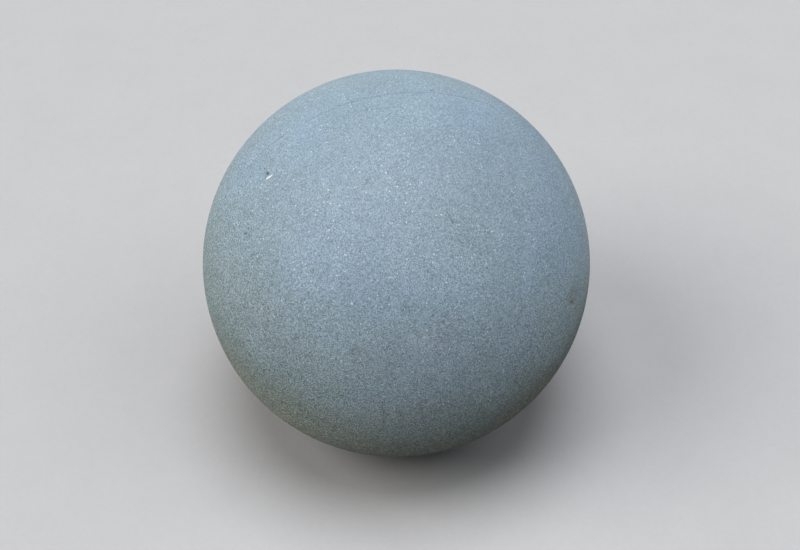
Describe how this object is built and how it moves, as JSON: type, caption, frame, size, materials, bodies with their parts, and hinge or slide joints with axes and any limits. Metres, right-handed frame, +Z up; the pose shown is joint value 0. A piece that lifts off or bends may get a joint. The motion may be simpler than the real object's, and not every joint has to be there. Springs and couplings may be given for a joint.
{
  "type": "cast stone ball",
  "caption": "Grey cast stone garden ball in two bonded hollow halves, with a flat seat and a capped threaded socket for lifting and fixing.",
  "frame": {"origin": "centre of the flat seat that the ball rests on", "axes": "+Z up through the ball's centre; the joint between the halves runs round the ball in a plane that holds the X direction and leans back towards +Y; -Y is the front"},
  "size_m": [0.5, 0.4998, 0.4884],
  "materials": {
    "cast_stone": "matt weathered fine-grained cast stone",
    "joint_mortar": "fine bonding mortar",
    "spacer_mortar": "coarse cement mortar",
    "core_foam": "expanded polystyrene beads",
    "anchor_resin": "filled anchor resin",
    "stainless_dowel": "drawn stainless bar",
    "bar_steel": "mill-scaled reinforcing bar with light rust",
    "socket_steel": "zinc-plated steel",
    "cap_plastic": "moulded black polyethylene"
  },
  "bodies": {
    "ball": {"cast_half_front": "cast_stone", "cast_half_back": "cast_stone", "joint_mortar": "joint_mortar", "joint_dowels": "stainless_dowel", "dowel_resin_front": "anchor_resin", "dowel_resin_back": "anchor_resin", "void_former_front": "core_foam", "void_former_back": "core_foam", "rim_hoop_front": "bar_steel", "rim_hoop_back": "bar_steel", "crown_hoop_front": "bar_steel", "crown_hoop_back": "bar_steel", "outer_stirrup_front": "bar_steel", "outer_stirrup_back": "bar_steel", "inner_stirrup_front": "bar_steel", "inner_stirrup_back": "bar_steel", "core_spacers_front": "spacer_mortar", "core_spacers_back": "spacer_mortar", "lifting_socket": "socket_steel", "socket_cross_bar": "socket_steel"},
    "cap": {"socket_cap": "cap_plastic"}
  },
  "joints": [
    {"name": "cap_pull", "type": "slide", "parent": "ball", "child": "cap", "axis": [0, 0, -1], "range_m": [0, 0.12]}
  ]
}
